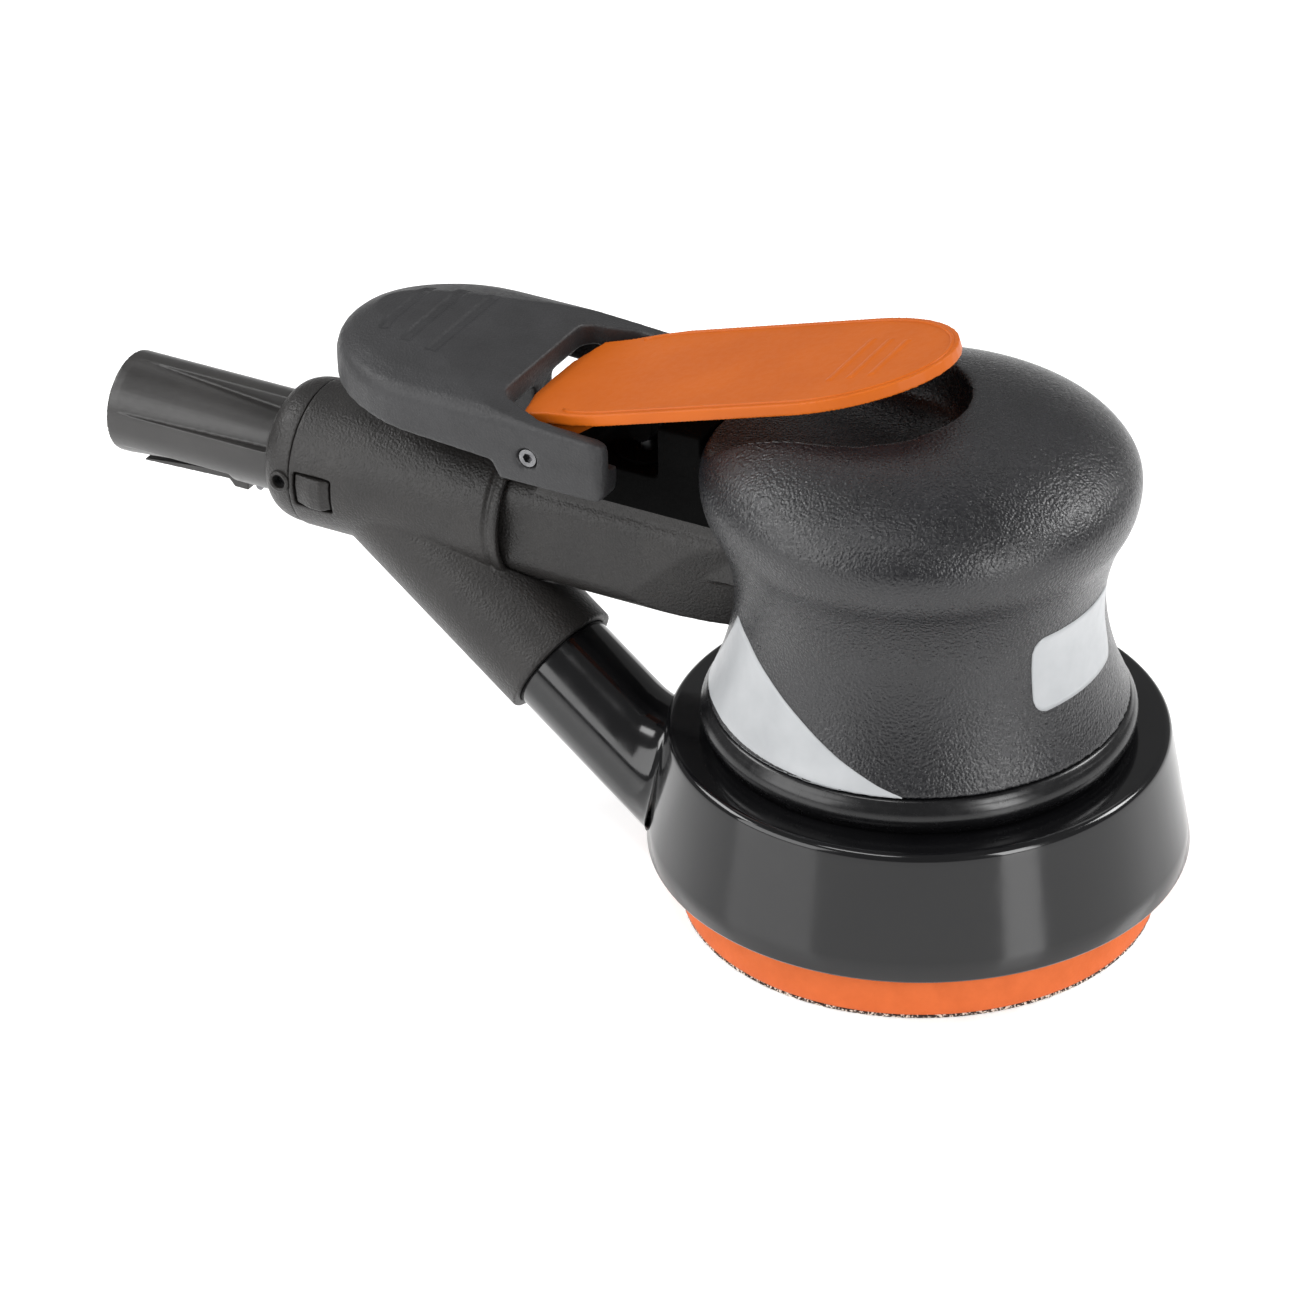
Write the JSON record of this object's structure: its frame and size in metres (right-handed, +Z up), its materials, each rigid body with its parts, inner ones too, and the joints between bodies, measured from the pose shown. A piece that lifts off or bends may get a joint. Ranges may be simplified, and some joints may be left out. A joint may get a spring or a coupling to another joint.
{
  "type": "orbital sander",
  "caption": "air-powered random orbital palm sander with a round pad, vacuum shroud, side exhaust duct, swivel hose fitting and a flat throttle lever",
  "frame": {"origin": "centre of the motor axis on the sanding face of the pad", "axes": "+Z up along the motor axis, +X from the handle towards the head's nose, -X along the handle to the hose, +Y to the far side"},
  "size_m": [0.2201, 0.1006, 0.1134],
  "materials": {
    "housing_black": "fine-grained black nylon",
    "grip_rubber": "black over-mould with a fine leather grain",
    "ring_black": "moulded black, semi-gloss",
    "shroud_gloss": "polished black",
    "grained_plastic": "fine leather-grained black",
    "fitting_grey": "smooth dark grey, satin",
    "lever_orange": "satin orange coat",
    "pad_orange": "matte orange moulded foam skin",
    "hook_fabric": "short hook pile",
    "steel": "turned bright steel",
    "dark_steel": "ground and oiled steel",
    "brass": "sintered bronze",
    "seal_rubber": "moulded black",
    "vane_resin": "laminated resin"
  },
  "bodies": {
    "housing": {"motor_housing": "housing_black", "grip_cover": "grip_rubber", "lock_ring": "ring_black", "shroud": "shroud_gloss", "vacuum_sleeve": "grained_plastic", "end_ring": "grained_plastic", "ring_pin": "steel", "hand_rest": "grained_plastic", "lever_pin": "steel", "motor_cylinder": "dark_steel", "upper_end_plate": "dark_steel", "lower_end_plate": "dark_steel", "cylinder_dowel": "steel", "upper_bearing_outer": "steel", "lower_bearing_outer": "steel", "valve_seat": "brass", "valve_cap": "housing_black", "valve_spring": "steel", "inlet_bushing": "steel", "inlet_screen": "steel", "muffler_insert": "brass"},
    "lever": {"throttle_lever": "lever_orange"},
    "valve": {"valve_stem": "steel", "valve_seal": "seal_rubber"},
    "fitting": {"hose_fitting": "fitting_grey", "latch_pin": "steel"},
    "latch": {"release_latch": "fitting_grey"},
    "regulator": {"speed_regulator": "fitting_grey"},
    "rotor": {"rotor": "dark_steel", "rotor_vanes": "vane_resin", "rotor_key": "steel", "upper_bearing_inner": "steel", "lower_bearing_inner": "steel", "balancer": "dark_steel", "spindle_bearing_outer": "steel", "bearing_clip": "dark_steel"},
    "pad": {"spindle": "steel", "spindle_bearing_inner": "steel", "pad_plate": "seal_rubber", "pad_foam": "pad_orange", "hook_face": "hook_fabric"}
  },
  "joints": [
    {"name": "throttle", "type": "hinge", "parent": "housing", "child": "lever", "pos_m": [-0.0694, 0, 0.083], "axis": [0, 1, 0], "range_deg": [0, 5.6], "stiffness_Nm_per_rad": 1, "springref_deg": -5.73},
    {"name": "valve_travel", "type": "slide", "parent": "housing", "child": "valve", "axis": [0, 0, -1], "range_m": [0, 0.0014], "deforming": ["valve_spring"]},
    {"name": "fitting_swivel", "type": "hinge", "parent": "housing", "child": "fitting", "pos_m": [-0.13, 0, 0.0592], "axis": [1, 0, 0], "continuous": true},
    {"name": "latch_squeeze", "type": "hinge", "parent": "fitting", "child": "latch", "pos_m": [-0.1386, 0, 0.0508], "axis": [0, 1, 0], "range_deg": [0, 1.5], "stiffness_Nm_per_rad": 0.5, "springref_deg": -2.86},
    {"name": "regulator_turn", "type": "hinge", "parent": "housing", "child": "regulator", "pos_m": [-0.068, 0.012, 0.0592], "axis": [0, 1, 0], "range_deg": [0, 90]},
    {"name": "motor_spin", "type": "hinge", "parent": "housing", "child": "rotor", "pos_m": [0, 0, 0.06], "axis": [0, 0, 1], "continuous": true},
    {"name": "pad_spin", "type": "hinge", "parent": "rotor", "child": "pad", "pos_m": [0.0006, -0.00103, 0.02], "axis": [0, 0, 1], "continuous": true}
  ],
  "couplings": [
    {"joint": "valve_travel", "follows": "throttle", "m_per_rad": 0.0134}
  ]
}
